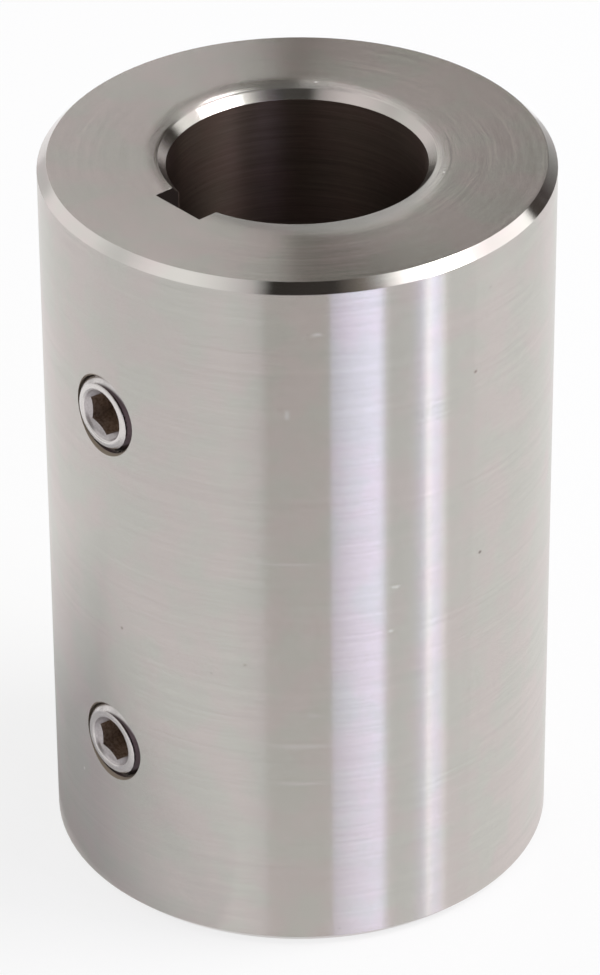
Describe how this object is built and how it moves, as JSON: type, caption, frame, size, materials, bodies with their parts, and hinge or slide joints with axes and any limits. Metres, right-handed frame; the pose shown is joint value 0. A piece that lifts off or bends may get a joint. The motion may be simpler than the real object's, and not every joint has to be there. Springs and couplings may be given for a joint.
{
  "type": "rigid shaft coupling",
  "caption": "Plain round coupling sleeve with a keyed through bore and set screws in one line over the keyway, for joining shafts end to end.",
  "frame": {"origin": "middle of the lower end face, on the bore's axis", "axes": "+Z along the bore, from the lower to the upper end face; -Y points out through the keyway and both set screws"},
  "size_m": [0.0502, 0.0505, 0.0762],
  "materials": {
    "sleeve_steel": "fine turned stainless steel",
    "screw_steel": "bright machined stainless steel"
  },
  "bodies": {
    "sleeve": {"sleeve": "sleeve_steel"},
    "upper_screw": {"upper_set_screw": "screw_steel"},
    "lower_screw": {"lower_set_screw": "screw_steel"}
  },
  "joints": [
    {"name": "upper_screw_feed", "type": "slide", "parent": "sleeve", "child": "upper_screw", "axis": [0, 1, 0], "range_m": [-0.0034, 0.0021]},
    {"name": "lower_screw_feed", "type": "slide", "parent": "sleeve", "child": "lower_screw", "axis": [0, 1, 0], "range_m": [-0.0034, 0.0021]}
  ]
}
